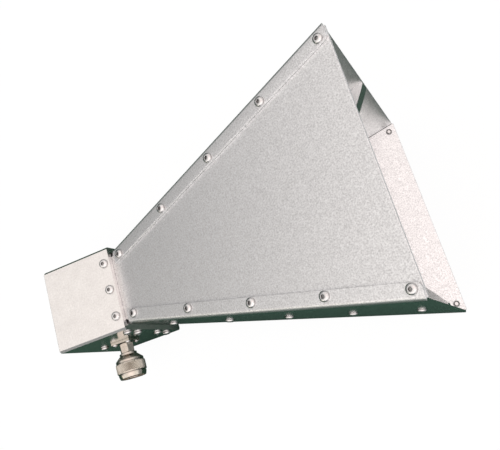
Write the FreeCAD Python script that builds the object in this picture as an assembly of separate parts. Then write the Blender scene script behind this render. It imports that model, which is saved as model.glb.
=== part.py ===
import FreeCAD, Part
import math
import os

from FreeCAD import Placement, Rotation, Vector

# Double ridged horn antenna, all sizes in millimetres.
# Working frame: +X is the boresight with X = 0 at the housing's front face, +Y runs from the
# connector side to the plain side, +Z from the lower side panel to the upper one.

# Flare, measured over its folded sheets
mouth_width_y = 144.0
mouth_width_z = 186.0
throat_width_y = 45.6
throat_width_z = 67.8
mouth_x = 180.0
throat_x = 1.4
sheet = 1.6
fold_radius = 2.4
throat_bend_radius = 8.0
tab_length = 10.0
tab_corner_gap = 1.2

# Folded flanges of the broad walls, and the screws through them
flange_width = 8.6
flange_start = 2.8
flange_corner_radius = 3.0
flange_screw_inset = 5.6
flange_screw_first = 8.1
flange_screw_mouth_setback = 5.1
flange_screw_count = 5
panel_edge_clearance = 0.1

# Ridges
ridge_thickness = 10.6
ridge_half_gap = 1.3
ridge_nose_height = 1.2
ridge_nose_setback = 0.6
ridge_back_gap = 2.0
ridge_curve_steps = 10
ridge_screw_first = 14.6
ridge_screw_mouth_setback = 15.8
ridge_screw_count = 5
ridge_screw_depth = 6.5
ridge_rear_screw_setback = 7.6

# Feed housing and its rear cover
housing_length = 46.4
housing_wall = 3.4
housing_chamfer = 1.3
slip_gap = 0.1
cover_thickness = 2.5
cover_edge_break = 0.3
cover_screw_inset = 2.75
cover_screw_length = 8.0
throat_screw_side_x = -4.2
throat_screw_side_inset = 3.2
throat_screw_broad_x = -5.1
throat_screw_broad_inset = 4.4

# Button head screws: shank radius, head radius, head height, socket across flats
m3_screw = (1.48, 2.85, 1.65, 2.0)
m2_screw = (0.98, 1.75, 1.1, 1.2)
head_rim = 0.35
head_flat_share = 0.456
dome_bulge_out = 0.12
dome_bulge_up = 0.14
socket_depth_share = 0.6
screw_hole_gap = 0.12
thread_gap = 0.03
hole_bottom_gap = 0.5

# Countersunk screws of the rear cover: shank radius, head radius, socket across flats
m2_5_flat_screw = (1.23, 2.3, 1.5)
flat_socket_depth = 0.8

# Clinch nuts pressed into the side panels
nut_shank_wall = 0.59
nut_collar_step = 0.6
nut_collar_height = 1.5
nut_edge_break = 0.25

# Square flange socket of the coaxial feed
probe_back_short = 23.4
socket_square = 13.6
socket_flange_thickness = 1.65
socket_hole_inset = 1.8
socket_screw_depth = 4.2
socket_barrel_wall = 1.0
insulator_radius = 2.05
pin_radius = 0.635
pin_reach = 5.0
bore_gap = 0.05
contact_pin_radius = 0.45
contact_pin_reach = 2.3
contact_hole_gap = 0.02
contact_hole_spare = 0.3

# Adapter on the socket: hexagon nut, then lip, neck, collar, shaft and ferrule in one body
hex_across_flats = 8.5
hex_turn = -7.0
hex_flange_gap = 0.25
hex_length = 6.3
hex_shoulder = 0.95
hex_chamfer = 0.35
adapter_lip_thickness = 0.65
adapter_lip_gap = 0.13
adapter_neck_wall = 0.55
adapter_collar_gap = 0.15
adapter_collar_length = 1.25
adapter_collar_step = 0.5
ferrule_bore_radius = 3.5
ferrule_wall = 0.55
ferrule_length = 8.1
ferrule_slot_width = 0.5
ferrule_slot_depth = 5.0
adapter_shaft_step = 1.05
insulator_floor = 0.6
insulator_length = 3.8
contact_body_radius = 1.5
contact_tip_radius = 0.83
contact_tip_chamfer = 0.4
contact_recess = 1.6
ring_groove_depth = 0.6
ring_width = 1.45
ring_thickness = 0.7
ring_opening = 2.0
shaft_end_lip = 1.15
gasket_thickness = 1.0
gasket_side_gap = 1.0

# Coupling nut, which turns on the adapter
running_gap = 0.05
coupling_back_gap = 0.1
coupling_back_wall = 2.8
coupling_back_step = 0.8
coupling_cone_length = 2.9
coupling_bore_room = 3.55
coupling_wall = 1.4
coupling_rear_band = 1.5
coupling_groove_width = 0.4
coupling_groove_depth = 0.3
coupling_knurl_length = 6.2
coupling_knurl_height = 0.65
coupling_front_band = 3.0
coupling_end_chamfer = 2.2
coupling_end_step = 0.7

FEED_SIDE = -1
PLAIN_SIDE = 1
LOWER = -1
UPPER = 1
BOTH = (FEED_SIDE, PLAIN_SIDE)
OVERCUT = 1.0
SAME_PLACE = 1e-3

# Worked out from the sizes above: slopes of the flare and the box it leaves
slope_y = (mouth_width_y - throat_width_y) / 2.0 / (mouth_x - throat_x)
slope_z = (mouth_width_z - throat_width_z) / 2.0 / (mouth_x - throat_x)
angle_y = math.atan(slope_y)
angle_z = math.atan(slope_z)
tab_y = throat_width_y / 2.0
tab_z = throat_width_z / 2.0 - sheet / math.cos(angle_z)
housing_y = tab_y + slip_gap + housing_wall
housing_z = tab_z + slip_gap + housing_wall
cavity_y = tab_y - sheet
cavity_z = tab_z - sheet
broad_tab_reach = cavity_z - tab_corner_gap
side_tab_reach = cavity_y - tab_corner_gap
probe_x = probe_back_short - housing_length
nut_shank_radius = m3_screw[0] + thread_gap + nut_shank_wall
nut_collar_radius = nut_shank_radius + nut_collar_step

# Radii and places of the coaxial parts, places counted outwards from the housing's face
socket_bore = insulator_radius + bore_gap
socket_barrel_radius = socket_bore + socket_barrel_wall
contact_hole_radius = contact_pin_radius + contact_hole_gap
hex_start = socket_flange_thickness + hex_flange_gap
hex_end = hex_start + hex_length
lip_end = hex_end - hex_shoulder
barrel_end = lip_end - adapter_lip_thickness
neck_radius = socket_bore + adapter_neck_wall
lip_radius = socket_barrel_radius + thread_gap - adapter_lip_gap
collar_start = hex_end + adapter_collar_gap
collar_end = collar_start + adapter_collar_length
ferrule_radius = ferrule_bore_radius + ferrule_wall
shaft_radius = ferrule_radius + adapter_shaft_step
collar_radius = shaft_radius + adapter_collar_step
coupling_start = collar_end + coupling_back_gap
wall_end = coupling_start + coupling_back_wall
groove_start = wall_end + bore_gap
groove_radius = shaft_radius - ring_groove_depth
groove_end = groove_start + ring_thickness + 2.0 * bore_gap
shaft_end = groove_end + shaft_end_lip
ferrule_end = shaft_end + ferrule_length
insulator_step = collar_end + insulator_floor
insulator_end = insulator_step + insulator_length
contact_end = ferrule_end - contact_recess
coupling_bore = ferrule_radius + coupling_bore_room
band_radius = coupling_bore + coupling_wall
knurl_radius = band_radius + coupling_knurl_height
band_groove_radius = band_radius - coupling_groove_depth
cone_end = coupling_start + coupling_cone_length
knurl_start = cone_end + coupling_rear_band + coupling_groove_width
knurl_end = knurl_start + coupling_knurl_length
coupling_end = knurl_end + coupling_groove_width + coupling_front_band


def half_y(x):
    """Half width of the flare over its broad walls."""
    return throat_width_y / 2.0 + (x - throat_x) * slope_y


def half_z(x):
    """Half width of the flare over its flanges."""
    return throat_width_z / 2.0 + (x - throat_x) * slope_z


def inner_y(x):
    """Half width between the broad walls' inner faces."""
    return half_y(x) - sheet / math.cos(angle_y)


def prism(points, plane, low, high):
    """Straight block over an outline in the XY or the XZ plane, from low to high across it."""
    if plane == "XY":
        corners = [Vector(a, b, low) for a, b in points]
        run = Vector(0, 0, high - low)
    else:
        corners = [Vector(a, low, b) for a, b in points]
        run = Vector(0, high - low, 0)
    face = Part.Face(Part.makePolygon(corners + corners[:1]))
    return face.extrude(run)


def block(x0, x1, y0, y1, z0, z1):
    return Part.makeBox(x1 - x0, y1 - y0, z1 - z0, Vector(x0, y0, z0))


def turned(points):
    """Solid of revolution about Z from an outline of radius and height."""
    corners = [Vector(r, 0, z) for r, z in points]
    face = Part.Face(Part.makePolygon(corners + corners[:1]))
    return face.revolve(Vector(0, 0, 0), Vector(0, 0, 1), 360)


def rod(radius, z0, z1):
    return Part.makeCylinder(radius, z1 - z0, Vector(0, 0, z0))


def edges_where(shape, test):
    """The edges whose two ends both pass a test of their place."""
    return [edge for edge in shape.Edges
            if len(edge.Vertexes) == 2 and all(test(v.Point) for v in edge.Vertexes)]


def placed(shape, place):
    copy = shape.copy()
    copy.Placement = place.multiply(copy.Placement)
    return copy


def on_broad_wall(side, x, z):
    """Place on a broad wall's outer face, its own Z pointing out of the horn."""
    normal = Vector(-math.sin(angle_y), side * math.cos(angle_y), 0)
    return Placement(Vector(x, side * half_y(x), z), Rotation(Vector(0, 0, 1), normal))


def on_side_wall(side, x, y):
    """Place on the outer face of the flanges over a side panel, its own Z pointing out."""
    normal = Vector(-math.sin(angle_z), 0, side * math.cos(angle_z))
    return Placement(Vector(x, y, side * half_z(x)), Rotation(Vector(0, 0, 1), normal))


def on_housing_broad(side, x, z):
    return Placement(Vector(x, side * housing_y, z), Rotation(Vector(0, 0, 1), Vector(0, side, 0)))


def on_housing_side(side, x, y):
    return Placement(Vector(x, y, side * housing_z), Rotation(Vector(0, 0, 1), Vector(0, 0, side)))


def on_rear(y, z):
    place = Vector(-housing_length - cover_thickness, y, z)
    return Placement(place, Rotation(Vector(0, 0, 1), Vector(-1, 0, 0)))


def button_screw(size, length):
    """Screw with a domed head standing on Z = 0, hex socket, shank pointing to -Z."""
    shank, head, height, flats = size
    flat = head * head_flat_share
    middle_r = (head + flat) / 2.0 + dome_bulge_out * height
    middle_z = (head_rim + height) / 2.0 + dome_bulge_up * height
    dome = Part.Arc(Vector(head, 0, head_rim), Vector(middle_r, 0, middle_z),
                    Vector(flat, 0, height)).toShape()
    rest = Part.makePolygon([Vector(flat, 0, height), Vector(0, 0, height), Vector(0, 0, -length),
                             Vector(shank, 0, -length), Vector(shank, 0, 0), Vector(head, 0, 0),
                             Vector(head, 0, head_rim)])
    outline = Part.Wire([dome] + rest.Edges)
    body = Part.Face(outline).revolve(Vector(0, 0, 0), Vector(0, 0, 1), 360)
    depth = height * socket_depth_share
    return body.cut(hexagon(flats, height - depth, height + OVERCUT))


def flat_screw(size, length):
    """Countersunk screw, its flat head flush with Z = 0, shank pointing to -Z."""
    shank, head, flats = size
    body = turned([(0, 0), (head, 0), (shank, shank - head), (shank, -length), (0, -length)])
    return body.cut(hexagon(flats, -flat_socket_depth, OVERCUT))


def hexagon(across_flats, z0, z1):
    radius = across_flats / math.sqrt(3.0)
    corners = []
    for step in range(6):
        angle = math.radians(60 * step)
        corners.append(Vector(radius * math.cos(angle), radius * math.sin(angle), z0))
    face = Part.Face(Part.makePolygon(corners + corners[:1]))
    return face.extrude(Vector(0, 0, z1 - z0))


def clearance_hole(size, depth):
    return rod(size[0] + screw_hole_gap, -depth, OVERCUT)


def threaded_hole(size, depth):
    return rod(size[0] + thread_gap, -depth, OVERCUT)


def countersunk_hole(size, depth):
    wide = size[1] + thread_gap
    narrow = size[0] + screw_hole_gap
    return turned([(0, OVERCUT), (wide, OVERCUT), (wide, 0), (narrow, narrow - wide),
                   (narrow, -depth), (0, -depth)])


# Screw places
def evenly(first, last, count):
    """Places from the first to the last, the same distance apart."""
    return [first + n * (last - first) / (count - 1.0) for n in range(count)]


edge_slant = math.atan(slope_y * math.cos(angle_z))
flange_inset_y = flange_screw_inset / math.cos(edge_slant)
flange_screw_x = evenly(flange_screw_first, mouth_x - flange_screw_mouth_setback, flange_screw_count)
ridge_screw_x = evenly(ridge_screw_first, mouth_x - ridge_screw_mouth_setback, ridge_screw_count)


def flange_places(wall_sides, panel_sides):
    places = []
    for panel in panel_sides:
        for wall in wall_sides:
            for x in flange_screw_x:
                y = wall * (half_y(x) - flange_inset_y)
                places.append(on_side_wall(panel, x, y))
    return places


def ridge_places(side):
    front = [on_broad_wall(side, x, 0) for x in ridge_screw_x]
    return front + [on_housing_broad(side, ridge_rear_screw_setback - housing_length, 0)]


def throat_broad_places(side):
    outer = broad_tab_reach - throat_screw_broad_inset
    offsets = (-outer, -outer / 2.0, outer / 2.0, outer)
    return [on_housing_broad(side, throat_screw_broad_x, z) for z in offsets]


def throat_side_places(side):
    outer = side_tab_reach - throat_screw_side_inset
    return [on_housing_side(side, throat_screw_side_x, y) for y in (-outer, 0.0, outer)]


def cover_places():
    y = housing_y - cover_screw_inset
    z = housing_z - cover_screw_inset
    return [on_rear(a, b) for b in (-z, z) for a in (-y, 0.0, y)]


def all_at(shape, places):
    return Part.makeCompound([placed(shape, place) for place in places])


# Folded sheets
def flare_volume(inset, radius, x0, x1):
    """Solid of the flare set in from its outer faces, its four long edges rounded."""
    inset_y = inset / math.cos(angle_y)
    inset_z = inset / math.cos(angle_z)
    seen_above = [(x0, half_y(x0) - inset_y), (x1, half_y(x1) - inset_y),
                  (x1, inset_y - half_y(x1)), (x0, inset_y - half_y(x0))]
    seen_beside = [(x0, half_z(x0) - inset_z), (x1, half_z(x1) - inset_z),
                   (x1, inset_z - half_z(x1)), (x0, inset_z - half_z(x0))]
    body = prism(seen_above, "XY", -mouth_width_z, mouth_width_z)
    body = body.common(prism(seen_beside, "XZ", -mouth_width_y, mouth_width_y))
    return body.makeFillet(radius, lengthwise_edges(body))


def lengthwise_edges(shape):
    """The edges that run from the back of a shape to its front."""
    reach = shape.BoundBox.XLength / 2.0
    return [e for e in shape.Edges if abs(e.Vertexes[0].Point.x - e.Vertexes[1].Point.x) > reach]


def bent_strip(half_at, slope_angle, tab_half, plane, reach, x_end, side):
    """Throat tab and the sheet before it, joined by the throat bend, as a plain strip."""
    outer_end = tab_half + half_at(x_end) - half_at(throat_x)
    kink = throat_x + sheet * math.tan(slope_angle / 2.0)
    outline = [(-tab_length, tab_half), (throat_x, tab_half), (x_end, outer_end),
               (x_end, outer_end - sheet / math.cos(slope_angle)), (kink, tab_half - sheet),
               (-tab_length, tab_half - sheet)]
    strip = prism([(a, side * b) for a, b in outline], plane, -reach, reach)
    spots = ((throat_x, tab_half, throat_bend_radius),
             (kink, tab_half - sheet, throat_bend_radius + sheet))
    for x, half, radius in spots:
        place = (x, side * half)
        axis = 1 if plane == "XY" else 2
        edges = edges_where(strip, lambda p: math.hypot(p[0] - place[0], p[axis] - place[1]) < SAME_PLACE)
        strip = strip.makeFillet(radius, edges)
    return strip


def broad_wall(side):
    """Broad wall: trapezoid sheet, flanges folded on both long edges, tab at the throat."""
    shell = flare_volume(0.0, fold_radius, flange_start, mouth_x)
    shell = shell.cut(flare_volume(sheet, fold_radius - sheet, flange_start - OVERCUT, mouth_x + OVERCUT))
    reach = mouth_x + mouth_width_z
    keep = block(-reach, reach, -reach, reach, -flange_width, fold_radius)
    body = shell.common(placed(keep, on_broad_wall(side, 0, 0)))
    ends = [e for e in body.Edges if is_flange_corner(e, side)]
    body = body.makeFillet(flange_corner_radius, ends)
    strip = bent_strip(half_y, angle_y, tab_y, "XY", broad_tab_reach, flange_start + OVERCUT, side)
    body = body.fuse(strip).removeSplitter()
    for place in ridge_places(side)[:-1]:
        body = body.cut(placed(clearance_hole(m3_screw, 2 * sheet), place))
    for place in flange_places([side], (LOWER, UPPER)):
        body = body.cut(placed(clearance_hole(m3_screw, 2 * sheet), place))
    for place in throat_broad_places(side):
        body = body.cut(placed(threaded_hole(m3_screw, housing_wall + slip_gap + 2 * sheet), place))
    return body


def is_flange_corner(edge, side):
    """True for the short edge across the sheet at a flange's free corner, at the mouth."""
    for vertex in edge.Vertexes:
        p = vertex.Point
        depth = (half_y(p.x) - side * p.y) * math.cos(angle_y)
        if p.x < mouth_x - sheet or abs(depth - flange_width) > SAME_PLACE:
            return False
    return True


def side_panel(side):
    """Side panel: flat trapezoid under the flanges, with its own tab at the throat."""
    strip = bent_strip(half_z, angle_z, tab_z, "XZ", mouth_width_y, mouth_x, side)
    edge = sheet / math.cos(angle_y) + (fold_radius - sheet) + panel_edge_clearance
    outline = [(-tab_length, side_tab_reach), (0.0, side_tab_reach),
               (flange_start, half_y(flange_start) - edge), (mouth_x, half_y(mouth_x) - edge)]
    mirror = [(x, -y) for x, y in reversed(outline)]
    body = strip.common(prism(outline + mirror, "XY", -mouth_width_z, mouth_width_z))
    hole = rod(nut_shank_radius, -3 * sheet, OVERCUT)
    for place in flange_places(BOTH, [side]):
        body = body.cut(placed(hole, place))
    for place in throat_side_places(side):
        body = body.cut(placed(threaded_hole(m3_screw, housing_wall + slip_gap + 2 * sheet), place))
    return body


def clinch_nut():
    """Nut pressed through a side panel from inside, seen from the flange's outer face."""
    top = -sheet
    step = top - sheet
    foot = step - nut_collar_height
    bore = m3_screw[0] + thread_gap
    return turned([(bore, foot), (nut_collar_radius - nut_edge_break, foot),
                   (nut_collar_radius, foot + nut_edge_break), (nut_collar_radius, step),
                   (nut_shank_radius, step), (nut_shank_radius, top), (bore, top)])


# Ridges
def ridge(side):
    """Ridge: level tongue in the housing, then an exponential taper out to the mouth."""
    back = ridge_back_gap - housing_length
    nose = mouth_x - ridge_nose_setback
    growth = math.log((inner_y(nose) - ridge_nose_height) / ridge_half_gap) / nose
    curve_points = []
    for n in range(ridge_curve_steps + 1):
        x = nose * n / ridge_curve_steps
        curve_points.append(Vector(x, side * ridge_half_gap * math.exp(growth * x), 0))
    curve = Part.BSplineCurve()
    curve.interpolate(curve_points)
    kink = throat_x + sheet * math.tan(angle_y / 2.0)
    rest = Part.makePolygon([curve_points[-1], Vector(nose, side * inner_y(nose), 0),
                             Vector(kink, side * cavity_y, 0), Vector(back, side * cavity_y, 0),
                             Vector(back, side * ridge_half_gap, 0), curve_points[0]])
    face = Part.Face(Part.Wire([curve.toShape()] + rest.Edges))
    body = face.extrude(Vector(0, 0, ridge_thickness))
    body.translate(Vector(0, 0, -ridge_thickness / 2.0))
    for place in ridge_places(side)[:-1]:
        depth = sheet + ridge_screw_depth + hole_bottom_gap
        body = body.cut(placed(threaded_hole(m3_screw, depth), place))
    depth = housing_y - cavity_y + ridge_screw_depth + hole_bottom_gap
    body = body.cut(placed(threaded_hole(m3_screw, depth), ridge_places(side)[-1]))
    return body


def probe_place():
    """The connector's place: Z points outwards from the housing's feed side face."""
    return on_housing_broad(FEED_SIDE, probe_x, 0)


def feed_ridge():
    bore = rod(socket_bore, -housing_y, 0.0)
    return ridge(FEED_SIDE).cut(placed(bore, probe_place()))


def plain_ridge():
    deep = housing_y + ridge_half_gap + pin_reach + hole_bottom_gap
    bore = rod(pin_radius + bore_gap, -deep, 0.0)
    return ridge(PLAIN_SIDE).cut(placed(bore, probe_place()))


# Feed housing
def feed_housing():
    """Milled box, open at both ends, rebated at the front for the four sheet tabs."""
    body = block(-housing_length, 0, -housing_y, housing_y, -housing_z, housing_z)
    body = body.makeChamfer(housing_chamfer, lengthwise_edges(body))
    body = body.cut(block(-housing_length - OVERCUT, OVERCUT, -cavity_y, cavity_y, -cavity_z, cavity_z))
    rebate_y = tab_y + slip_gap
    rebate_z = tab_z + slip_gap
    body = body.cut(block(-tab_length - slip_gap, OVERCUT, -rebate_y, rebate_y, -rebate_z, rebate_z))
    for side in BOTH:
        rear_hole = clearance_hole(m3_screw, housing_y - cavity_y + OVERCUT)
        body = body.cut(placed(rear_hole, ridge_places(side)[-1]))
        for place in throat_broad_places(side) + throat_side_places(side):
            body = body.cut(placed(clearance_hole(m3_screw, housing_wall + slip_gap), place))
    for place in cover_places():
        depth = cover_screw_length + hole_bottom_gap
        body = body.cut(placed(threaded_hole(m2_5_flat_screw, depth), place))
    body = body.cut(placed(rod(socket_bore, -housing_y, OVERCUT), probe_place()))
    for place in socket_screw_places():
        depth = socket_flange_thickness + socket_screw_depth + hole_bottom_gap
        body = body.cut(placed(threaded_hole(m2_screw, depth), place))
    return body


def rear_cover():
    x0 = -housing_length - cover_thickness
    body = block(x0, -housing_length, -housing_y, housing_y, -housing_z, housing_z)
    body = body.makeChamfer(housing_chamfer, lengthwise_edges(body))
    rim = edges_where(body, lambda p: abs(p.x - x0) < SAME_PLACE)
    body = body.makeChamfer(cover_edge_break, rim)
    for place in cover_places():
        body = body.cut(placed(countersunk_hole(m2_5_flat_screw, 2 * cover_thickness), place))
    return body


# Coaxial feed, drawn upright on its own axis and then put in its place
def socket_screw_places():
    half = socket_square / 2.0 - socket_hole_inset
    spots = [Vector(a, b, socket_flange_thickness) for a in (-half, half) for b in (-half, half)]
    return [probe_place().multiply(Placement(spot, Rotation())) for spot in spots]


def socket_body():
    half = socket_square / 2.0
    body = block(-half, half, -half, half, 0, socket_flange_thickness)
    body = body.fuse(rod(socket_barrel_radius, 0, barrel_end))
    body = body.cut(rod(socket_bore, -OVERCUT, barrel_end + OVERCUT))
    body = placed(body, probe_place())
    for place in socket_screw_places():
        body = body.cut(placed(clearance_hole(m2_screw, 2 * socket_flange_thickness), place))
    return body


def socket_insulator():
    body = rod(insulator_radius, ridge_half_gap - housing_y, barrel_end)
    body = body.cut(rod(pin_radius + bore_gap, -housing_y, barrel_end + OVERCUT))
    return placed(body, probe_place())


def probe_pin():
    """Probe across the ridge gap, its outer end a socket for the adapter's contact."""
    body = rod(pin_radius, -housing_y - ridge_half_gap - pin_reach, barrel_end)
    depth = contact_pin_reach + contact_hole_spare
    return placed(body.cut(rod(contact_hole_radius, barrel_end - depth, barrel_end + OVERCUT)), probe_place())


def adapter_hex_nut():
    """Hexagon nut screwed onto the socket's barrel, its shoulder behind the adapter's lip."""
    corner = hex_across_flats / math.sqrt(3.0)
    rise = hex_chamfer / 2.0
    envelope = turned([(0, hex_start), (corner - hex_chamfer, hex_start), (corner, hex_start + rise),
                       (corner, hex_end - rise), (corner - hex_chamfer, hex_end), (0, hex_end)])
    turn = Placement(Vector(0, 0, 0), Rotation(Vector(0, 0, 1), hex_turn))
    body = placed(hexagon(hex_across_flats, hex_start, hex_end), turn).common(envelope)
    body = body.cut(rod(socket_barrel_radius + thread_gap, hex_start - OVERCUT, lip_end))
    return placed(body.cut(rod(neck_radius + bore_gap, lip_end - OVERCUT, hex_end + OVERCUT)), probe_place())


def adapter_body():
    """Turned body: lip, neck, collar, shaft with a ring groove, and the slotted ferrule."""
    outline = [(socket_bore, barrel_end), (lip_radius, barrel_end), (lip_radius, lip_end),
               (neck_radius, lip_end), (neck_radius, collar_start), (collar_radius, collar_start),
               (collar_radius, collar_end), (shaft_radius, collar_end), (shaft_radius, groove_start),
               (groove_radius, groove_start), (groove_radius, groove_end), (shaft_radius, groove_end),
               (shaft_radius, shaft_end), (ferrule_radius, shaft_end), (ferrule_radius, ferrule_end),
               (ferrule_bore_radius, ferrule_end), (ferrule_bore_radius, insulator_step),
               (socket_bore, insulator_step)]
    body = turned(outline)
    half = ferrule_slot_width / 2.0
    reach = ferrule_radius + OVERCUT
    slot = block(-reach, reach, -half, half, ferrule_end - ferrule_slot_depth, ferrule_end + OVERCUT)
    for angle in (45, 135):
        turn = Placement(Vector(0, 0, 0), Rotation(Vector(0, 0, 1), angle))
        body = body.cut(placed(slot, turn))
    return placed(body, probe_place())


def adapter_insulator():
    """White insulator: slim nose through the neck, wide disc behind the contact's body."""
    hole = pin_radius + bore_gap
    wide = ferrule_bore_radius - bore_gap
    pocket = contact_body_radius + bore_gap
    outline = [(hole, barrel_end), (insulator_radius, barrel_end), (insulator_radius, insulator_step),
               (wide, insulator_step), (wide, insulator_end), (pocket, insulator_end),
               (pocket, insulator_step), (hole, insulator_step)]
    return placed(turned(outline), probe_place())


def adapter_contact():
    """Centre contact: slim pin into the probe, stepped body, long pin for the cable's jack."""
    start = barrel_end - contact_pin_reach
    tip = contact_tip_chamfer
    outline = [(0, start), (contact_pin_radius, start), (contact_pin_radius, barrel_end),
               (pin_radius, barrel_end), (pin_radius, insulator_step), (contact_body_radius, insulator_step),
               (contact_body_radius, insulator_end), (contact_tip_radius, insulator_end),
               (contact_tip_radius, contact_end - 2.0 * tip), (contact_tip_radius - tip, contact_end),
               (0, contact_end)]
    return placed(turned(outline), probe_place())


def retaining_ring():
    """Split ring in the shaft's groove, which keeps the coupling nut on the adapter."""
    low = groove_start + bore_gap
    high = low + ring_thickness
    inner = groove_radius + bore_gap
    body = rod(inner + ring_width, low, high).cut(rod(inner, low - OVERCUT, high + OVERCUT))
    reach = inner + ring_width + OVERCUT
    half = ring_opening / 2.0
    return placed(body.cut(block(0, reach, -half, half, low - OVERCUT, high + OVERCUT)), probe_place())


def gasket():
    """Flat sealing ring round the ferrule, against the shaft's end."""
    high = shaft_end + gasket_thickness
    body = rod(coupling_bore - gasket_side_gap, shaft_end, high)
    body = body.cut(rod(ferrule_radius + bore_gap, shaft_end - OVERCUT, high + OVERCUT))
    return placed(body, probe_place())


def coupling_nut():
    """Coupling nut: coned back, grooved bands, bore for the thread, chamfered mouth."""
    hole = shaft_radius + running_gap
    outline = [(hole, coupling_start), (shaft_radius + coupling_back_step, coupling_start),
               (band_radius, cone_end), (band_radius, knurl_start - coupling_groove_width),
               (band_groove_radius, knurl_start - coupling_groove_width), (band_groove_radius, knurl_start),
               (knurl_radius, knurl_start), (knurl_radius, knurl_end), (band_groove_radius, knurl_end),
               (band_groove_radius, knurl_end + coupling_groove_width),
               (band_radius, knurl_end + coupling_groove_width),
               (band_radius, coupling_end - coupling_end_chamfer),
               (band_radius - coupling_end_step, coupling_end), (coupling_bore, coupling_end),
               (coupling_bore, wall_end), (hole, wall_end)]
    return placed(turned(outline), probe_place())


# Screws by group, their lengths worked out from what they pass through
flange_screw = button_screw(m3_screw, 2 * sheet + nut_collar_height)
wall_ridge_screw = button_screw(m3_screw, sheet + ridge_screw_depth)
rear_ridge_screw = button_screw(m3_screw, housing_y - cavity_y + ridge_screw_depth)
throat_screw = button_screw(m3_screw, housing_wall + slip_gap + sheet)
cover_screw = flat_screw(m2_5_flat_screw, cover_screw_length)
socket_screw = button_screw(m2_screw, socket_flange_thickness + socket_screw_depth)


def ridge_screws(side):
    places = ridge_places(side)
    front = [placed(wall_ridge_screw, place) for place in places[:-1]]
    return Part.makeCompound(front + [placed(rear_ridge_screw, places[-1])])


nodes = {
    "feed_housing": feed_housing(),
    "rear_cover": rear_cover(),
    "rear_cover_screws": all_at(cover_screw, cover_places()),
    "broad_wall_feed_side": broad_wall(FEED_SIDE),
    "broad_wall_plain_side": broad_wall(PLAIN_SIDE),
    "side_panel_upper": side_panel(UPPER),
    "side_panel_lower": side_panel(LOWER),
    "ridge_feed_side": feed_ridge(),
    "ridge_plain_side": plain_ridge(),
    "flange_screws_upper": all_at(flange_screw, flange_places(BOTH, [UPPER])),
    "flange_screws_lower": all_at(flange_screw, flange_places(BOTH, [LOWER])),
    "clinch_nuts_upper": all_at(clinch_nut(), flange_places(BOTH, [UPPER])),
    "clinch_nuts_lower": all_at(clinch_nut(), flange_places(BOTH, [LOWER])),
    "ridge_screws_feed_side": ridge_screws(FEED_SIDE),
    "ridge_screws_plain_side": ridge_screws(PLAIN_SIDE),
    "throat_screws_upper": all_at(throat_screw, throat_side_places(UPPER)),
    "throat_screws_lower": all_at(throat_screw, throat_side_places(LOWER)),
    "throat_screws_feed_side": all_at(throat_screw, throat_broad_places(FEED_SIDE)),
    "throat_screws_plain_side": all_at(throat_screw, throat_broad_places(PLAIN_SIDE)),
    "socket_body": socket_body(),
    "socket_screws": all_at(socket_screw, socket_screw_places()),
    "socket_insulator": socket_insulator(),
    "probe_pin": probe_pin(),
    "adapter_hex_nut": adapter_hex_nut(),
    "adapter_body": adapter_body(),
    "adapter_insulator": adapter_insulator(),
    "adapter_contact": adapter_contact(),
    "retaining_ring": retaining_ring(),
    "gasket": gasket(),
    "coupling_nut": coupling_nut(),
}

# The horn lies on its side: on the rear cover's lower edge and on the two lower flange
# screws next to the mouth. The line through both is laid on the floor.
rear_contact = Vector(-housing_length - cover_thickness + cover_edge_break, 0, -housing_z)
last_screw = on_side_wall(LOWER, flange_screw_x[-1], 0)
forward = Vector(math.cos(angle_z), 0, -math.sin(angle_z))
head_contact = last_screw.multVec(Vector(0, 0, m3_screw[2])) + forward * (m3_screw[1] * head_flat_share)
lean = math.degrees(math.atan2(rear_contact.z - head_contact.z, head_contact.x - rear_contact.x))
lay = Placement(Vector(0, 0, 0), Rotation(Vector(0, 1, 0), -lean))
laid = {name: placed(shape, lay) for name, shape in nodes.items()}
bounds = Part.makeCompound(list(laid.values())).optimalBoundingBox(False, False)
floor = lay.multVec(rear_contact).z
shift = Placement(Vector(-bounds.Center.x, -bounds.Center.y, -floor), Rotation())

os.makedirs("parts", exist_ok=True)
for name, shape in laid.items():
    final = placed(shape, shift)
    if not final.isValid():
        raise ValueError(name + " is not a valid solid")
    final.exportStep("parts/" + name + ".step")
    print(name, len(final.Solids), "solids", round(final.Volume, 1), "mm3")
print("lean", round(lean, 4), "shift", [round(v, 4) for v in shift.Base])
print("box", bounds.XLength, bounds.YLength, bounds.ZLength)
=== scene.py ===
import math

import bmesh
import bpy
from mathutils import Matrix, Vector


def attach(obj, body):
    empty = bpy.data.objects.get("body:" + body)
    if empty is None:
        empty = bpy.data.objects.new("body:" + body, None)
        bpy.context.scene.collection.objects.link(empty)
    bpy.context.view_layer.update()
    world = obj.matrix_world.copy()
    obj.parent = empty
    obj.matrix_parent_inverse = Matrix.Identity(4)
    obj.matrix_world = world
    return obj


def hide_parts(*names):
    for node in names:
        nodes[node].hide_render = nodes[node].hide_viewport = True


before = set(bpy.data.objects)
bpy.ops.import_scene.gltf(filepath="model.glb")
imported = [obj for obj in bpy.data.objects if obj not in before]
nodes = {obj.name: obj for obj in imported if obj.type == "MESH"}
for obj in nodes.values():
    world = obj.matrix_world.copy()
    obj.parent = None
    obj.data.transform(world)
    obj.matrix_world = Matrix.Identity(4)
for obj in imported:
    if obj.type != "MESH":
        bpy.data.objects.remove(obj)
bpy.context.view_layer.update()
scene = bpy.context.scene
scene.view_settings.view_transform = "Standard"


# Camera
# Held above the connector side, it looks steeply down on the horn as it lies on its side. Its
# place, turn and lens come from the corners and screw heads of the photograph.
camera = bpy.data.objects.new("camera", bpy.data.cameras.new("camera"))
scene.collection.objects.link(camera)
camera.location = (0.037457, -0.097864, 0.49415)
camera.rotation_euler = [math.radians(turn) for turn in (16.2513, 8.8961, -16.5279)]
camera.data.lens = 50.64
camera.data.shift_x = 0.02513
camera.data.shift_y = -0.07866
camera.data.clip_start = 0.01
scene.camera = camera


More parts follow.
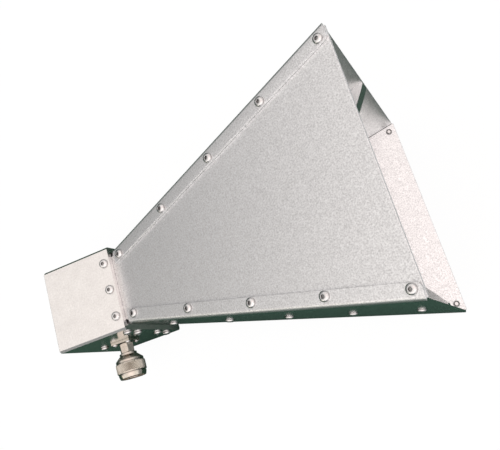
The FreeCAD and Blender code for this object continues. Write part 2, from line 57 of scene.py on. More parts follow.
# Studio
# A plain white floor that keeps a soft shadow, a sky that grows from a grey horizon to a bright
# top with a low window behind the feed and an open side towards the connector, a soft lamp, and
# the dark green table top that the metal mirrors, which ends in front of the mouth.
stage_half = 4.0
floor_white, floor_glow = 0.93, 0.95
sky_colours = ((0.0, (0.23, 0.232, 0.24)), (0.2, (0.27, 0.272, 0.281)),
               (0.34, (0.478, 0.475, 0.479)), (0.5, (1.23, 1.185, 1.165)),
               (0.7, (1.02, 0.985, 0.94)), (0.95, (1.43, 1.285, 1.255)))
window_way, window_start, window_full = (-0.93, -0.35, 0.1), 0.93, 0.99
window_colour = (1.25, 1.18, 1.07)
open_side_start, open_side_end, open_side_light = 0.1, -0.9, 1.7
lamp_place, lamp_aim = Vector((-0.25, -0.3, 0.75)), Vector((0.05, 0.0, 0.1))
lamp_width, lamp_watts = 0.3, 0.9
mat_green, mat_edge_x, mat_height = (0.033, 0.068, 0.052), 0.35, 0.0002


def link(tree, start, end):
    tree.links.new(start, end)


def new_material(name):
    """An empty node material with its output, and its tree."""
    material = bpy.data.materials.new(name)
    material.use_nodes = True
    material.node_tree.nodes.clear()
    out = material.node_tree.nodes.new("ShaderNodeOutputMaterial")
    return material, material.node_tree, out


def background_rays(tree):
    """1 for the rays that show the white background: camera, glossy and transmission rays."""
    path = tree.nodes.new("ShaderNodeLightPath")
    either = tree.nodes.new("ShaderNodeMath")
    either.operation = "MAXIMUM"
    link(tree, path.outputs["Is Camera Ray"], either.inputs[0])
    link(tree, path.outputs["Is Glossy Ray"], either.inputs[1])
    any_of = tree.nodes.new("ShaderNodeMath")
    any_of.operation = "MAXIMUM"
    link(tree, either.outputs[0], any_of.inputs[0])
    link(tree, path.outputs["Is Transmission Ray"], any_of.inputs[1])
    return any_of.outputs[0]


def stage_square(name, material, edge_x, height):
    """A flat square of the stage that ends at a place along X."""
    bm = bmesh.new()
    bmesh.ops.create_grid(bm, x_segments=1, y_segments=1, size=stage_half)
    bmesh.ops.translate(bm, vec=(edge_x - stage_half, 0.0, height), verts=bm.verts)
    mesh = bpy.data.meshes.new(name)
    bm.to_mesh(mesh)
    bm.free()
    mesh.materials.append(material)
    square = bpy.data.objects.new(name, mesh)
    scene.collection.objects.link(square)
    return square


floor_material, tree, out = new_material("white_floor")
paper = tree.nodes.new("ShaderNodeBsdfDiffuse")
paper.inputs["Color"].default_value = (floor_white, floor_white, floor_white, 1.0)
glow = tree.nodes.new("ShaderNodeEmission")
glow.inputs["Color"].default_value = (1.0, 1.0, 1.0, 1.0)
share = tree.nodes.new("ShaderNodeMath")
share.operation = "MULTIPLY"
share.inputs[1].default_value = floor_glow
link(tree, background_rays(tree), share.inputs[0])
both = tree.nodes.new("ShaderNodeMixShader")
link(tree, share.outputs[0], both.inputs["Fac"])
link(tree, paper.outputs[0], both.inputs[1])
link(tree, glow.outputs[0], both.inputs[2])
link(tree, both.outputs[0], out.inputs["Surface"])
floor = stage_square("floor", floor_material, stage_half, 0.0)

world = bpy.data.worlds.new("soft_room")
scene.world = world
world.use_nodes = True
tree = world.node_tree
tree.nodes.clear()
out = tree.nodes.new("ShaderNodeOutputWorld")
coords = tree.nodes.new("ShaderNodeTexCoord")
split = tree.nodes.new("ShaderNodeSeparateXYZ")
link(tree, coords.outputs["Generated"], split.inputs[0])
ramp = tree.nodes.new("ShaderNodeValToRGB")
link(tree, split.outputs["Z"], ramp.inputs["Fac"])
while len(ramp.color_ramp.elements) < len(sky_colours):
    ramp.color_ramp.elements.new(0.5)
for element, (height, colour) in zip(ramp.color_ramp.elements, sky_colours):
    element.position = height
    element.color = (*colour, 1.0)
towards_window = tree.nodes.new("ShaderNodeVectorMath")
towards_window.operation = "DOT_PRODUCT"
towards_window.inputs[1].default_value = window_way
link(tree, coords.outputs["Generated"], towards_window.inputs[0])
window = tree.nodes.new("ShaderNodeMapRange")
window.interpolation_type = "SMOOTHSTEP"
window.inputs["From Min"].default_value = window_start
window.inputs["From Max"].default_value = window_full
link(tree, towards_window.outputs["Value"], window.inputs["Value"])
lit = tree.nodes.new("ShaderNodeMix")
lit.data_type = "RGBA"
lit.inputs["B"].default_value = (*window_colour, 1.0)
link(tree, window.outputs["Result"], lit.inputs["Factor"])
link(tree, ramp.outputs["Color"], lit.inputs["A"])
open_side = tree.nodes.new("ShaderNodeMapRange")
open_side.inputs["From Min"].default_value = open_side_start
open_side.inputs["From Max"].default_value = open_side_end
open_side.inputs["To Min"].default_value = 1.0
open_side.inputs["To Max"].default_value = open_side_light
link(tree, split.outputs["Y"], open_side.inputs["Value"])
sky = tree.nodes.new("ShaderNodeBackground")
link(tree, lit.outputs["Result"], sky.inputs["Color"])
link(tree, open_side.outputs["Result"], sky.inputs["Strength"])
white = tree.nodes.new("ShaderNodeBackground")
white.inputs["Color"].default_value = (1.0, 1.0, 1.0, 1.0)
path = tree.nodes.new("ShaderNodeLightPath")
mix = tree.nodes.new("ShaderNodeMixShader")
link(tree, path.outputs["Is Camera Ray"], mix.inputs["Fac"])
link(tree, sky.outputs[0], mix.inputs[1])
link(tree, white.outputs[0], mix.inputs[2])
link(tree, mix.outputs[0], out.inputs["Surface"])

lamp_data = bpy.data.lights.new("softbox", "AREA")
lamp_data.shape = "RECTANGLE"
lamp_data.size = lamp_width
lamp_data.size_y = lamp_width
lamp_data.energy = lamp_watts
lamp = bpy.data.objects.new("softbox", lamp_data)
scene.collection.objects.link(lamp)
lamp.location = lamp_place
lamp.visible_glossy = False
lamp.rotation_euler = (lamp_aim - lamp_place).to_track_quat("-Z", "Y").to_euler()

mat_material, tree, out = new_material("dark_mat")
felt = tree.nodes.new("ShaderNodeBsdfDiffuse")
felt.inputs["Color"].default_value = (*mat_green, 1.0)
link(tree, felt.outputs[0], out.inputs["Surface"])
dark_mat = stage_square("dark_mat", mat_material, mat_edge_x, mat_height)
dark_mat.visible_camera = False
dark_mat.visible_shadow = False
dark_mat.visible_diffuse = False


# Feed housing and rear cover
# A box milled from solid aluminium, fine bead blasted and clear anodised, closed at the back by
# a plate of the same finish with six flush screws.
def grain_group():
    """Fine blasted grain over a slower mottle: a mask of 0 to 1 and a height for bump."""
    group = bpy.data.node_groups.new("blasted_grain", "ShaderNodeTree")
    new_socket = group.interface.new_socket
    for name, value in (("Grain size", 0.0006), ("Mottle size", 0.005), ("Mottle share", 0.4)):
        new_socket(name=name, in_out="INPUT", socket_type="NodeSocketFloat").default_value = value
    for name in ("Mask", "Height"):
        new_socket(name=name, in_out="OUTPUT", socket_type="NodeSocketFloat")
    start = group.nodes.new("NodeGroupInput")
    end = group.nodes.new("NodeGroupOutput")
    place = group.nodes.new("ShaderNodeTexCoord")

    def noise_of(size_socket, detail):
        turns = group.nodes.new("ShaderNodeMath")
        turns.operation = "DIVIDE"
        turns.inputs[0].default_value = 1.0
        link(group, size_socket, turns.inputs[1])
        noise = group.nodes.new("ShaderNodeTexNoise")
        noise.inputs["Detail"].default_value = detail
        link(group, place.outputs["Object"], noise.inputs["Vector"])
        link(group, turns.outputs[0], noise.inputs["Scale"])
        return noise.outputs["Fac"]

    grain = noise_of(start.outputs["Grain size"], 2.0)
    mottle = noise_of(start.outputs["Mottle size"], 4.0)
    mix = group.nodes.new("ShaderNodeMix")
    link(group, start.outputs["Mottle share"], mix.inputs[0])
    link(group, grain, mix.inputs[2])
    link(group, mottle, mix.inputs[3])
    spread = group.nodes.new("ShaderNodeMapRange")
    spread.inputs["From Min"].default_value = 0.3
    spread.inputs["From Max"].default_value = 0.7
    link(group, mix.outputs[0], spread.inputs["Value"])
    link(group, spread.outputs["Result"], end.inputs["Mask"])
    link(group, grain, end.inputs["Height"])
    return group


blasted_grain = grain_group()


def finish(name, dark, light, rough, metallic, grain_size, mottle_size, mottle_share, bump,
           painted_corner_shade=0.85, corner_reach=0.0006):
    """A finish whose colour, roughness and height follow the blasted grain.

    It grows glossier where it is seen at a flat angle. Its colour carries painted shade: it is
    darker in inner corners, sockets and gaps, where ambient occlusion finds surfaces close by."""
    material, tree, out = new_material(name)
    shader = tree.nodes.new("ShaderNodeBsdfPrincipled")
    shader.inputs["Metallic"].default_value = metallic
    grain = tree.nodes.new("ShaderNodeGroup")
    grain.node_tree = blasted_grain
    grain.inputs["Grain size"].default_value = grain_size
    grain.inputs["Mottle size"].default_value = mottle_size
    grain.inputs["Mottle share"].default_value = mottle_share
    tint = tree.nodes.new("ShaderNodeMix")
    tint.data_type = "RGBA"
    tint.inputs["A"].default_value = (*dark, 1.0)
    tint.inputs["B"].default_value = (*light, 1.0)
    link(tree, grain.outputs["Mask"], tint.inputs["Factor"])
    # Painted shade: ambient occlusion darkens the base colour in corners, sockets and gaps.
    corner = tree.nodes.new("ShaderNodeAmbientOcclusion")
    corner.samples = 6
    corner.inputs["Distance"].default_value = corner_reach
    shade = tree.nodes.new("ShaderNodeMapRange")
    shade.inputs["From Min"].default_value = 0.35
    shade.inputs["From Max"].default_value = 0.85
    shade.inputs["To Min"].default_value = painted_corner_shade
    link(tree, corner.outputs["AO"], shade.inputs["Value"])
    painted_shade = tree.nodes.new("ShaderNodeMix")
    painted_shade.data_type = "RGBA"
    painted_shade.blend_type = "MULTIPLY"
    painted_shade.inputs["Factor"].default_value = 1.0
    link(tree, tint.outputs["Result"], painted_shade.inputs["A"])
    link(tree, shade.outputs["Result"], painted_shade.inputs["B"])
    link(tree, painted_shade.outputs["Result"], shader.inputs["Base Color"])
    dullness = tree.nodes.new("ShaderNodeMapRange")
    dullness.inputs["To Min"].default_value = max(rough)
    dullness.inputs["To Max"].default_value = min(rough)
    link(tree, grain.outputs["Mask"], dullness.inputs["Value"])
    facing = tree.nodes.new("ShaderNodeLayerWeight")
    flat_angle = tree.nodes.new("ShaderNodeMapRange")
    flat_angle.inputs["From Min"].default_value = 0.63
    flat_angle.inputs["From Max"].default_value = 0.9
    flat_angle.inputs["To Min"].default_value = 1.0
    flat_angle.inputs["To Max"].default_value = 0.35
    link(tree, facing.outputs["Facing"], flat_angle.inputs["Value"])
    gloss = tree.nodes.new("ShaderNodeMath")
    gloss.operation = "MULTIPLY"
    link(tree, dullness.outputs["Result"], gloss.inputs[0])
    link(tree, flat_angle.outputs["Result"], gloss.inputs[1])
    link(tree, gloss.outputs[0], shader.inputs["Roughness"])
    relief = tree.nodes.new("ShaderNodeBump")
    relief.inputs["Distance"].default_value = bump
    link(tree, grain.outputs["Height"], relief.inputs["Height"])
    link(tree, relief.outputs["Normal"], shader.inputs["Normal"])
    link(tree, shader.outputs[0], out.inputs["Surface"])
    return material


def dress(material, *names):
    """Gives CAD nodes their finish."""
    for name in names:
        mesh = nodes[name].data
        mesh.materials.clear()
        mesh.materials.append(material)


def break_edges(width, *pieces):
    """Rounds the sharp edges of pieces, as a file or a tumbler breaks them."""
    for piece in pieces:
        edges = piece.modifiers.new("broken_edges", "BEVEL")
        edges.width = width
        edges.segments = 2
        edges.limit_method = "ANGLE"
        edges.angle_limit = math.radians(35.0)
        edges.use_clamp_overlap = True
        edges.harden_normals = True


blasted_housing = finish("blasted_housing", dark=(0.71, 0.69, 0.675), light=(0.86, 0.84, 0.825),
                         rough=(0.26, 0.38), metallic=1.0, grain_size=0.0009, mottle_size=0.007,
                         mottle_share=0.35, bump=0.00003)
dress(blasted_housing, "feed_housing", "rear_cover")
break_edges(0.0004, nodes["feed_housing"], nodes["rear_cover"])


# How the horn lies
# It rests on its side, on the rear cover's lower edge and the two lower flange screws at the
# mouth. The pieces below are drawn in millimetres along the boresight, with X = 0 at the housing's
# front, and then laid down.
lean = math.radians(14.40089)
housing_front = (-70.6512, 0.0, 46.6796)
millimetre = 0.001
laid_down = (Matrix.Scale(millimetre, 4) @ Matrix.Translation(housing_front)
             @ Matrix.Rotation(-lean, 4, "Y"))


def lay(bm, name, material):
    """Makes an object of a drawn piece as it lies, with its true edges kept crisp."""
    bmesh.ops.transform(bm, matrix=laid_down, verts=bm.verts)
    bmesh.ops.recalc_face_normals(bm, faces=bm.faces)
    for face in bm.faces:
        face.smooth = True
    mesh = bpy.data.meshes.new(name)
    bm.to_mesh(mesh)
    bm.free()
    mesh.set_sharp_from_angle(angle=math.radians(20.0))
    mesh.materials.append(material)
    piece = bpy.data.objects.new(name, mesh)
    scene.collection.objects.link(piece)
    return piece


# Side panels
# Two flat trapezoids of 1.6 mm aluminium sheet with a fine textured clear coat. The narrow end of
# each is bent level into a tab that goes under the housing's wall.
mouth_y, mouth_z = 144.0, 186.0
throat_y, throat_z = 45.6, 67.8
mouth_x, throat_x = 180.0, 1.4
sheet = 1.6
slope_y = (mouth_y - throat_y) / 2.0 / (mouth_x - throat_x)
slope_z = (mouth_z - throat_z) / 2.0 / (mouth_x - throat_x)
angle_y, angle_z = math.atan(slope_y), math.atan(slope_z)
tab_end, bend_radius, tab_corner_gap = -10.0, 8.0, 1.2
tab_y = throat_y / 2.0
tab_z = throat_z / 2.0 - sheet / math.cos(angle_z)
fold_radius, flange_start = 2.4, 2.8
panel_edge_break, panel_tuck = 0.28, 0.75


def half_y(x):
    return throat_y / 2.0 + (x - throat_x) * slope_y


def half_z(x):
    return throat_z / 2.0 + (x - throat_x) * slope_z


def strip_line(level, angle, end_x):
    """Places and heights along a strip: level tab, throat bend, and straight on to the mouth."""
    back = bend_radius * math.tan(angle / 2.0)
    line = [(tab_end, level)]
    for step in range(13):
        turned = angle * step / 12.0
        line.append((throat_x - back + bend_radius * math.sin(turned),
                     level + bend_radius * (1.0 - math.cos(turned))))
    return line + [(x, level + (x - throat_x) * math.tan(angle)) for x in (flange_start, end_x)]


def thicken(bm, broken_edge):
    """Gives a drawn outer face the sheet's thickness inwards and breaks its sheared edges."""
    bmesh.ops.recalc_face_normals(bm, faces=bm.faces)
    middle = sum((face.calc_center_median() for face in bm.faces), Vector()) / len(bm.faces)
    widest = max(bm.faces, key=lambda face: face.calc_area())
    outward = Vector((0.0, middle.y, middle.z))
    if widest.normal.dot(outward) < 0.0:
        bmesh.ops.reverse_faces(bm, faces=bm.faces)
    bmesh.ops.solidify(bm, geom=bm.faces[:], thickness=sheet)
    bmesh.ops.recalc_face_normals(bm, faces=bm.faces)
    sharp = [edge for edge in bm.edges if edge.calc_face_angle(0.0) > math.radians(50.0)]
    bmesh.ops.bevel(bm, geom=sharp, offset=broken_edge, segments=2, profile=0.5, affect="EDGES",
                    material=-1)


def side_panel(side):
    """A panel's outer face, tucked into the broad walls' folds, given the sheet's thickness."""
    line = strip_line(tab_z, angle_z, mouth_x + panel_edge_break)
    count = len(line) - 1
    bm = bmesh.new()
    bmesh.ops.create_grid(bm, x_segments=count, y_segments=1, size=0.5)
    inside_fold = sheet / math.cos(angle_y) + fold_radius - sheet
    wide = half_y(flange_start) - inside_fold + panel_tuck
    narrow = tab_y - sheet - tab_corner_gap
    for vert in bm.verts:
        x, height = line[round((vert.co.x + 0.5) * count)]
        if x < flange_start:
            half = narrow + max(x, 0.0) / flange_start * (wide - narrow)
        else:
            half = wide + (x - flange_start) * slope_y
        vert.co = (x, math.copysign(half, vert.co.y), side * height)
    thicken(bm, panel_edge_break)
    return bm


coated_sheet = finish("coated_sheet", dark=(0.6, 0.6, 0.605), light=(0.945, 0.945, 0.95),
                      rough=(0.36, 0.49), metallic=1.0, grain_size=0.0008, mottle_size=0.004,
                      mottle_share=0.15, bump=0.00003)
for side, end in ((1, "upper"), (-1, "lower")):
    panel = lay(side_panel(side), "flat_side_panel_" + end, coated_sheet)
    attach(panel, "antenna")
    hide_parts("side_panel_" + end)


# Broad walls
# The same sheet, cut as a wider trapezoid whose two long edges are folded over the side panels as
# flanges, 8.6 mm wide, cut square to the fold with a rounded corner. A tab goes under the housing.
flange_width, flange_corner, fold_steps = 8.6, 3.0, 8
wall_end_x, wall_edge_break = mouth_x - 0.6, 0.16
broad_reach = tab_z - sheet - tab_corner_gap


def folded_point(x, wall_height, column):
    """A place on a broad wall's outer face, for one column of the sheet from edge to edge."""
    kind, end = column
    if kind == "tab":
        return Vector((x, wall_height, end * broad_reach))
    if kind == "edge":
        return Vector((x, half_y(x) - flange_width / math.cos(angle_y), end * half_z(x)))
    wall_normal = Vector((-math.sin(angle_y), math.cos(angle_y), 0.0))
    flange_normal = Vector((-math.sin(angle_z), 0.0, end * math.cos(angle_z)))
    normal = wall_normal.slerp(flange_normal, kind)
    back = x - fold_radius * normal.x
    centre_y = half_y(back) - fold_radius / math.cos(angle_y)
    centre_z = half_z(back) - fold_radius / math.cos(angle_z)
    return Vector((x, centre_y, end * centre_z)) + fold_radius * Vector((0.0, normal.y, normal.z))


def broad_wall(side):
    """A wall's outer face with its flanges, corners rounded, given the sheet's thickness."""
    line = strip_line(tab_y, angle_y, wall_end_x)
    fold = [n / fold_steps for n in range(fold_steps + 1)]
    columns = [("edge", -1)] + [(share, -1) for share in reversed(fold)] + [("tab", -1), ("tab", 1)]
    columns += [(share, 1) for share in fold] + [("edge", 1)]
    rows, across = len(line) - 1, len(columns) - 1
    bm = bmesh.new()
    bmesh.ops.create_grid(bm, x_segments=rows, y_segments=across, size=0.5)
    tab_columns = [n for n, column in enumerate(columns) if column[0] == "tab"]
    outside = []
    for face in bm.faces:
        centre = face.calc_center_median()
        row, column = (centre.x + 0.5) * rows, (centre.y + 0.5) * across
        if row < rows - 1 and not tab_columns[0] < column < tab_columns[1]:
            outside.append(face)
    bmesh.ops.delete(bm, geom=outside, context="FACES")
    corners = []
    for vert in bm.verts:
        row, column = round((vert.co.x + 0.5) * rows), round((vert.co.y + 0.5) * across)
        x, height = line[row]
        if row == rows and column in (0, across):
            corners.append(vert)
            x = mouth_x
        vert.co = folded_point(x, height, columns[column])
        vert.co.y *= side
    bmesh.ops.bevel(bm, geom=corners, offset=flange_corner, segments=5, profile=0.5,
                    affect="VERTICES", material=-1)
    thicken(bm, wall_edge_break)
    return bm


for side, end in ((-1, "feed"), (1, "plain")):
    wall = lay(broad_wall(side), "folded_wall_" + end, coated_sheet)
    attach(wall, "antenna")
    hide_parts("broad_wall_" + end + "_side")


# Ridges
# Two blades milled from aluminium plate, whose facing edges open in a curve towards the mouth.
# Their backs seat on the broad walls and are screwed on from outside.
milled_ridge = finish("milled_ridge", dark=(0.76, 0.76, 0.765), light=(0.9, 0.9, 0.9),
                      rough=(0.32, 0.44), metallic=1.0, grain_size=0.0008, mottle_size=0.01,
                      mottle_share=0.2, bump=0.00002)
dress(milled_ridge, "ridge_feed_side", "ridge_plain_side")
break_edges(0.0005, nodes["ridge_feed_side"], nodes["ridge_plain_side"])


# Button head screws
# Stainless M3 screws with a domed head and a hexagon socket: five in each flange, six along each
# ridge, and three or four through each wall of the housing into the sheets' tabs. M2 ones hold the
# coaxial socket.
housing_back, housing_wall, slip_gap = -46.4, 3.4, 0.1
housing_y = tab_y + slip_gap + housing_wall
housing_z = tab_z + slip_gap + housing_wall
probe_x = housing_back + 23.4
socket_half, socket_thick, socket_hole_inset = 6.8, 1.65, 1.8
m3_screw, m2_screw = (1.48, 2.85, 1.65, 2.0), (0.98, 1.75, 1.1, 1.2)
head_rim, head_flat, recess_depth, point_chamfer = 0.35, 0.456, 0.65, 0.35
ridge_screw_depth, socket_screw_depth, nut_screw_spare = 6.5, 4.2, 0.5
flange_screw_first, flange_screw_setback, flange_screw_inset = 8.1, 5.1, 5.6
ridge_screw_first, ridge_screw_setback, rear_screw_setback = 14.6, 15.8, 7.6
broad_screw_x, broad_screw_inset = -5.1, 4.4
side_screw_x, side_screw_inset = -4.2, 3.2
turn_steps, stop_turn = 36, 2.4


def spun(bm, profile, steps, closed=False):
    """Turns a profile of radius and height once round Z."""
    points = [bm.verts.new((radius, 0.0, height)) for radius, height in profile]
    pairs = list(zip(points, points[1:])) + ([(points[-1], points[0])] if closed else [])
    edges = [bm.edges.new(pair) for pair in pairs]
    bmesh.ops.spin(bm, geom=points + edges, cent=(0.0, 0.0, 0.0), axis=(0.0, 0.0, 1.0),
                   angle=math.tau, steps=steps, use_merge=True)
    bmesh.ops.remove_doubles(bm, verts=bm.verts, dist=1e-5)
    bmesh.ops.recalc_face_normals(bm, faces=bm.faces)


def hexagon_radius(place, half_flats, turn=0.0):
    """Distance from the middle to a hexagon's side, in the direction of a place."""
    angle = (math.atan2(place.y, place.x) - turn) % (math.pi / 3.0)
    return half_flats / math.cos(angle - math.pi / 6.0)


def button_screw(shank, head, height, flats, length):
    """A screw from its radii, head height, socket and length, standing under its head."""
    flat, floor_height, socket = head_flat * head, (1.0 - recess_depth) * height, flats / 2.0
    dome = [(flat + (head - flat) * math.cos(a), head_rim + (height - head_rim) * math.sin(a))
            for a in (math.pi / 2.0 * n / 7.0 for n in range(8))]
    profile = [(0.0, floor_height - 0.25), (0.98 * socket, floor_height),
               (socket, floor_height + 0.05), (socket, height - 0.12), (1.1 * socket, height)]
    profile += dome[::-1]
    profile += [(head, 0.06), (head - 0.06, 0.0), (shank, 0.0), (shank, point_chamfer - length),
                (shank - point_chamfer, -length), (0.0, -length)]
    bm = bmesh.new()
    spun(bm, profile, turn_steps)
    for vert in bm.verts:
        from_axis = math.hypot(vert.co.x, vert.co.y)
        if vert.co.z > 0.1 and 0.01 < from_axis < 1.15 * socket:
            grown = hexagon_radius(vert.co, socket) / socket
            vert.co.x *= grown
            vert.co.y *= grown
    mesh = bpy.data.meshes.new("button_screw")
    bm.to_mesh(mesh)
    bm.free()
    return mesh


def standing(place, outward, turn=0.0):
    """Where an upright part goes: its foot at a place, its own Z pointing outwards."""
    upright = Vector(outward).to_track_quat("Z", "Y").to_matrix().to_4x4()
    return Matrix.Translation(place) @ upright @ Matrix.Rotation(turn, 4, "Z")


def copies(part, places):
    """One mesh with a small part at each place, each turned as it came to rest when tightened."""
    bm = bmesh.new()
    for number, place in enumerate(places):
        done = len(bm.verts)
        bm.from_mesh(part)
        bm.verts.ensure_lookup_table()
        stop = Matrix.Rotation(number * stop_turn, 4, "Z")
        bmesh.ops.transform(bm, matrix=place @ stop, verts=bm.verts[done:])
    return bm


def evenly(first, last, count):
    return [first + n * (last - first) / (count - 1.0) for n in range(count)]


flange_inset = flange_screw_inset / math.cos(math.atan(slope_y * math.cos(angle_z)))


def flange_places(panel):
    normal = (-math.sin(angle_z), 0.0, panel * math.cos(angle_z))
    return [standing((x, wall * (half_y(x) - flange_inset), panel * half_z(x)), normal)
            for wall in (-1, 1)
            for x in evenly(flange_screw_first, mouth_x - flange_screw_setback, 5)]


def ridge_places(side):
    normal = (-math.sin(angle_y), side * math.cos(angle_y), 0.0)
    return [standing((x, side * half_y(x), 0.0), normal)
            for x in evenly(ridge_screw_first, mouth_x - ridge_screw_setback, 5)]


def throat_broad_places(side):
    outer = broad_reach - broad_screw_inset
    return [standing((broad_screw_x, side * housing_y, z), (0.0, side, 0.0))
            for z in (-outer, -outer / 2.0, outer / 2.0, outer)]


def throat_side_places(side):
    outer = tab_y - sheet - tab_corner_gap - side_screw_inset
    return [standing((side_screw_x, y, side * housing_z), (0.0, 0.0, side))
            for y in (-outer, 0.0, outer)]


# Bright steel gets the strongest painted shade, reaching 2 mm, which darkens the hexagon sockets
# and the rings round the heads.
bright_steel = finish("bright_steel", dark=(0.56, 0.55, 0.55), light=(0.8, 0.785, 0.78),
                      rough=(0.22, 0.34), metallic=1.0, grain_size=0.0006, mottle_size=0.002,
                      mottle_share=0.4, bump=0.00001, painted_corner_shade=0.18, corner_reach=0.002)
flange_screw = button_screw(*m3_screw, 2.0 * sheet + nut_screw_spare)
wall_screw = button_screw(*m3_screw, sheet + ridge_screw_depth)
rear_screw = button_screw(*m3_screw, housing_y - tab_y + sheet + ridge_screw_depth)
throat_screw = button_screw(*m3_screw, housing_wall + slip_gap + sheet)
socket_screw = button_screw(*m2_screw, socket_thick + socket_screw_depth)
screw_sets = []
for side, end in ((1, "upper"), (-1, "lower")):
    screw_sets.append((copies(flange_screw, flange_places(side)), "flange_screws_" + end))
    screw_sets.append((copies(throat_screw, throat_side_places(side)), "throat_screws_" + end))
for side, end in ((-1, "feed_side"), (1, "plain_side")):
    screw_sets.append((copies(throat_screw, throat_broad_places(side)), "throat_screws_" + end))
    along = copies(wall_screw, ridge_places(side))
    done = len(along.verts)
    along.from_mesh(rear_screw)
    along.verts.ensure_lookup_table()
    rear_place = (housing_back + rear_screw_setback, side * housing_y, 0.0)
    rear = standing(rear_place, (0.0, side, 0.0))
    bmesh.ops.transform(along, matrix=rear, verts=along.verts[done:])
    screw_sets.append((along, "ridge_screws_" + end))
hole = socket_half - socket_hole_inset
socket_places = [standing((probe_x + along_x, -housing_y - socket_thick, z), (0.0, -1.0, 0.0))
                 for along_x in (-hole, hole) for z in (-hole, hole)]
screw_sets.append((copies(socket_screw, socket_places), "socket_screws"))
for bm, node in screw_sets:
    screws = lay(bm, "button_" + node, bright_steel)
    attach(screws, "antenna")
    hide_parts(node)
dress(bright_steel, "rear_cover_screws")


# Clinch nuts
# Round steel nuts pressed through the side panels from inside, one for each flange screw. A low
# collar, the thread's mouth and the screw's end show on the panels' inner faces.
plain_steel = finish("plain_steel", dark=(0.3, 0.3, 0.3), light=(0.46, 0.46, 0.46),
                     rough=(0.3, 0.45), metallic=1.0, grain_size=0.0006, mottle_size=0.002,
                     mottle_share=0.4, bump=0.00001, painted_corner_shade=0.3, corner_reach=0.0012)
nut_bore, nut_shank, nut_collar, nut_height = 1.51, 1.9, 2.15, 0.55
panel_inside = -2.0 * sheet
foot = panel_inside - nut_height
bm = bmesh.new()
spun(bm, [(nut_bore, -sheet), (nut_shank, -sheet), (nut_shank, panel_inside),
          (nut_collar, panel_inside), (nut_collar, foot + 0.15), (nut_collar - 0.12, foot),
          (nut_bore + 0.3, foot), (nut_bore, foot + 0.3)], turn_steps, closed=True)
clinch_nut = bpy.data.meshes.new("clinch_nut")
bm.to_mesh(clinch_nut)
bm.free()
for side, end in ((1, "upper"), (-1, "lower")):
    nuts = lay(copies(clinch_nut, flange_places(side)), "pressed_nuts_" + end, plain_steel)
    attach(nuts, "antenna")
    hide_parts("clinch_nuts_" + end)


# Coaxial socket and plug adapter
# A square flange jack with a hexagon nut, and the adapter's turned body with its collar, shaft and
# split ferrule. All are turned or milled from brass with a warm bright nickel plating.
warm_nickel = finish("warm_nickel", dark=(0.43, 0.395, 0.345), light=(0.62, 0.575, 0.51),
                     rough=(0.15, 0.25), metallic=1.0, grain_size=0.0005, mottle_size=0.003,
                     mottle_share=0.5, bump=0.00001, painted_corner_shade=0.45, corner_reach=0.0012)
dress(warm_nickel, "socket_body", "adapter_body", "retaining_ring")
hex_low, hex_high, hex_half, hex_bore, neck_bore = 1.9, 8.2, 4.25, 3.13, 2.7
lip_end, hex_turn, chamfer_start, chamfer_fall = 7.25, math.radians(-7.0), 4.0, 0.58
jack_place = standing((probe_x, -housing_y, 0.0), (0.0, -1.0, 0.0))
bm = bmesh.new()
spun(bm, [(hex_bore, hex_low), (chamfer_start, hex_low), (hex_half, hex_low + 0.2),
          (hex_half, hex_high - 0.2), (chamfer_start, hex_high), (neck_bore, hex_high),
          (neck_bore, lip_end), (hex_bore, lip_end)], 2 * turn_steps, closed=True)
for vert in bm.verts:
    if math.hypot(vert.co.x, vert.co.y) > chamfer_start + 0.1:
        grown = hexagon_radius(vert.co, hex_half, hex_turn)
        fallen = chamfer_fall * (grown - chamfer_start)
        low_end = vert.co.z < (hex_low + hex_high) / 2.0
        vert.co.z = hex_low + fallen if low_end else hex_high - fallen
        vert.co.x *= grown / hex_half
        vert.co.y *= grown / hex_half
bmesh.ops.transform(bm, matrix=jack_place, verts=bm.verts)
hexagon_nut = lay(bm, "hexagon_nut", warm_nickel)
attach(hexagon_nut, "antenna")
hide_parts("adapter_hex_nut")


# Inside the connector
# Waxy white fluoropolymer holds a gold plated contact in the middle of the plug, and a red silicone
# ring seals round the ferrule.
white_insulator = finish("white_insulator", dark=(0.84, 0.84, 0.82), light=(0.9, 0.9, 0.88),
                         rough=(0.4, 0.5), metallic=0.0, grain_size=0.001, mottle_size=0.004,
                         mottle_share=0.5, bump=0.00001)
dress(white_insulator, "socket_insulator", "adapter_insulator")
gold = finish("gold", dark=(0.78, 0.55, 0.2), light=(0.9, 0.68, 0.3), rough=(0.18, 0.3),
              metallic=1.0, grain_size=0.0005, mottle_size=0.003, mottle_share=0.5, bump=0.00001)
dress(gold, "probe_pin", "adapter_contact")
red_rubber = finish("red_rubber", dark=(0.35, 0.06, 0.04), light=(0.45, 0.1, 0.07),
                    rough=(0.5, 0.7), metallic=0.0, grain_size=0.0008, mottle_size=0.003,
                    mottle_share=0.5, bump=0.00002)
dress(red_rubber, "gasket")


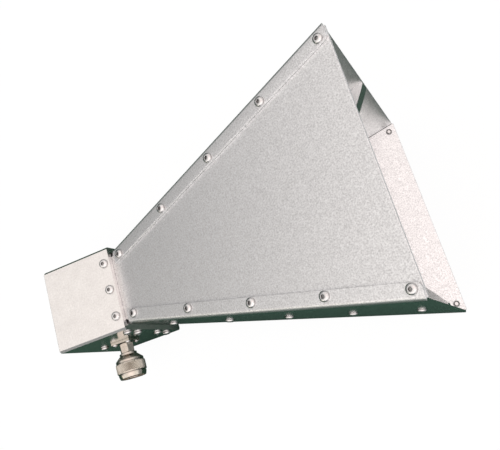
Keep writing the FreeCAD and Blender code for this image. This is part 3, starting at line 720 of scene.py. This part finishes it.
# Coupling nut
# Turned from nickel plated brass: a coned back, a smooth band, a fine diamond knurl between two
# grooves for the fingers, and a long tapered band at the mouth. Inside is its thread. It turns
# freely round the adapter.
knurl_low, knurl_rows, knurl_row, knurl_count = 14.5, 10, 0.62, 54
knurl_deep, knurl_peak = 9.3, 9.65
thread_low, thread_high, thread_pitch, thread_deep, bore = 15.9, 23.5, 1.058, 0.42, 7.6
nut_back, wall_end, nut_end, hole_radius = 9.7, 12.5, 24.1, 5.15
band, groove, groove_width, chamfer = 9.0, 8.7, 0.4, 0.12
knurl_high = knurl_low + knurl_rows * knurl_row
thread_rows = 29
profile = [(hole_radius, wall_end), (hole_radius, nut_back + 0.2), (hole_radius + 0.2, nut_back),
           (5.75, nut_back), (5.9, nut_back + chamfer), (8.85, 12.55), (8.96, 12.72), (band, 12.9),
           (band, knurl_low - groove_width - chamfer), (band - chamfer, knurl_low - groove_width),
           (groove, knurl_low - groove_width), (groove, knurl_low)]
profile += [(knurl_deep, knurl_low + row * knurl_row) for row in range(knurl_rows + 1)]
profile += [(groove, knurl_high), (groove, knurl_high + groove_width),
            (band - chamfer, knurl_high + groove_width),
            (band, knurl_high + groove_width + chamfer), (band, 21.8), (8.93, 22.1), (8.4, 23.9),
            (8.2, nut_end), (bore + 0.3, nut_end), (bore, nut_end - 0.3)]
profile += [(bore, height) for height in evenly(thread_high, thread_low, thread_rows)]
profile += [(bore, 15.5), (bore, wall_end)]
bm = bmesh.new()
spun(bm, profile, 2 * knurl_count, closed=True)
for vert in bm.verts:
    from_axis = math.hypot(vert.co.x, vert.co.y)
    angle = math.atan2(vert.co.y, vert.co.x)
    row = round((vert.co.z - knurl_low) / knurl_row)
    if abs(from_axis - knurl_deep) < 0.01 and 0 < row < knurl_rows:
        if (row + round(angle * knurl_count / math.pi)) % 2 == 0:
            vert.co.x *= knurl_peak / knurl_deep
            vert.co.y *= knurl_peak / knurl_deep
    if abs(from_axis - bore) < 0.01 and thread_low < vert.co.z < thread_high:
        turns = (vert.co.z / thread_pitch - angle / math.tau) % 1.0
        from_end = min(vert.co.z - thread_low, thread_high - vert.co.z)
        runout = min(1.0, from_end / thread_pitch)
        grown = 1.0 + thread_deep * runout * (1.0 - abs(2.0 * turns - 1.0)) / bore
        vert.co.x *= grown
        vert.co.y *= grown
for face in bm.faces[:]:
    radii = [math.hypot(vert.co.x, vert.co.y) for vert in face.verts]
    valleys = [vert for vert, radius in zip(face.verts, radii) if abs(radius - knurl_deep) < 0.01]
    on_knurl = len(valleys) == 2 and len(radii) == 4 and min(radii) > knurl_deep - 0.01
    if on_knurl and (valleys[0].co - valleys[1].co).length > 0.9 * knurl_row:
        bmesh.ops.connect_vert_pair(bm, verts=valleys)
bmesh.ops.transform(bm, matrix=jack_place, verts=bm.verts)
knurled_nut = lay(bm, "knurled_coupling_nut", warm_nickel)
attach(knurled_nut, "plug_nut")
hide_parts("coupling_nut")
